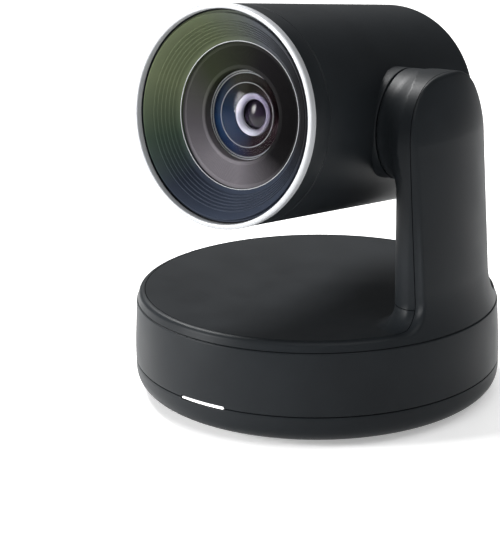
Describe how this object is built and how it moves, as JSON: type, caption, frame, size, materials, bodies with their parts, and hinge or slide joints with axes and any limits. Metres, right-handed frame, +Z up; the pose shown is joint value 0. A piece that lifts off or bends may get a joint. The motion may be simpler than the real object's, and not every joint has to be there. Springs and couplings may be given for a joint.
{
  "type": "ptz camera",
  "caption": "Motorised pan and tilt video camera: a round base, a turning turret with one side arm, and a cylindrical lens head.",
  "frame": {"origin": "centre of the base's underside, on the plane that it stands on", "axes": "+Z up, the lens looks along -Y at pan 0, and the arm stands on the +X side; the ports face +Y"},
  "size_m": [0.1544, 0.1544, 0.1676],
  "materials": {
    "charcoal_shell": "fine matt charcoal moulding with a soft sheen",
    "black_moulding": "black anti-glare moulding",
    "polished_trim": "polished bright ring",
    "steel": "plain plated steel",
    "brass": "machined",
    "rubber": "matt non-slip rubber",
    "circuit_board": "green solder mask",
    "acetal": "natural acetal",
    "coated_glass": "dark multi-coated optical glass",
    "light_diffuser": "milky light diffuser"
  },
  "bodies": {
    "base": {"base_bottom": "charcoal_shell", "base_wall": "charcoal_shell", "light_bar": "light_diffuser", "foot_ring": "rubber", "tripod_insert": "steel", "chassis_plate": "steel", "main_board": "circuit_board", "base_screw_1": "steel", "base_screw_2": "steel", "base_screw_3": "steel", "base_screw_4": "steel", "pan_bearing_outer": "steel", "port_panel": "black_moulding", "hdmi_socket": "steel", "usb_socket": "steel", "power_inlet": "black_moulding", "lock_plate": "steel", "pan_motor": "steel"},
    "pairing_button": {"pairing_button": "black_moulding"},
    "pan_pinion": {"pan_pinion": "brass"},
    "tilt_pinion": {"tilt_pinion": "brass"},
    "turret": {"turret_cover": "charcoal_shell", "deck": "charcoal_shell", "arm_inner_shell": "charcoal_shell", "arm_frame": "steel", "arm_screw_1": "steel", "arm_screw_2": "steel", "turret_plate": "steel", "pan_spindle": "steel", "pan_bearing_inner": "steel", "pan_gear": "acetal", "tilt_bearing_outer": "steel", "tilt_motor": "steel", "flex_cable": "black_moulding"},
    "head": {"head_shell": "charcoal_shell", "front_bezel": "charcoal_shell", "trim_ring": "polished_trim", "lens_baffle": "black_moulding", "lens_cell": "black_moulding", "front_lens": "coated_glass", "lens_barrel": "black_moulding", "head_frame": "steel", "tilt_shaft": "steel", "tilt_bearing_inner": "steel", "tilt_gear": "acetal", "sensor_board": "circuit_board", "image_sensor": "coated_glass"},
    "zoom_group": {"zoom_cell": "black_moulding", "zoom_lens": "coated_glass"},
    "focus_group": {"focus_cell": "black_moulding", "focus_lens": "coated_glass"}
  },
  "joints": [
    {"name": "pan", "type": "hinge", "parent": "base", "child": "turret", "pos_m": [0, 0, 0.03], "axis": [0, 0, 1], "range_deg": [-90, 90]},
    {"name": "tilt", "type": "hinge", "parent": "turret", "child": "head", "pos_m": [0, 0, 0.1164], "axis": [-1, 0, 0], "range_deg": [-96.7, 43.3]},
    {"name": "pan_pinion_spin", "type": "hinge", "parent": "base", "child": "pan_pinion", "pos_m": [-0.02121, 0.02121, 0.028], "axis": [0, 0, 1], "range_deg": [-365, 365]},
    {"name": "tilt_pinion_spin", "type": "hinge", "parent": "turret", "child": "tilt_pinion", "pos_m": [0.0586, 0, 0.0948], "axis": [-1, 0, 0], "range_deg": [-155, 342]},
    {"name": "zoom_slide", "type": "slide", "parent": "head", "child": "zoom_group", "axis": [0, -0.9932, 0.1167], "range_m": [-0.008, 0.01]},
    {"name": "focus_slide", "type": "slide", "parent": "head", "child": "focus_group", "axis": [0, -0.9932, 0.1167], "range_m": [-0.004, 0.004]},
    {"name": "pairing_button_press", "type": "slide", "parent": "base", "child": "pairing_button", "axis": [0, -1, 0], "range_m": [0, 0.0008], "stiffness_N_per_m": 1200}
  ],
  "couplings": [
    {"joint": "pan_pinion_spin", "follows": "pan", "ratio": -4},
    {"joint": "tilt_pinion_spin", "follows": "tilt", "ratio": -3.5}
  ]
}
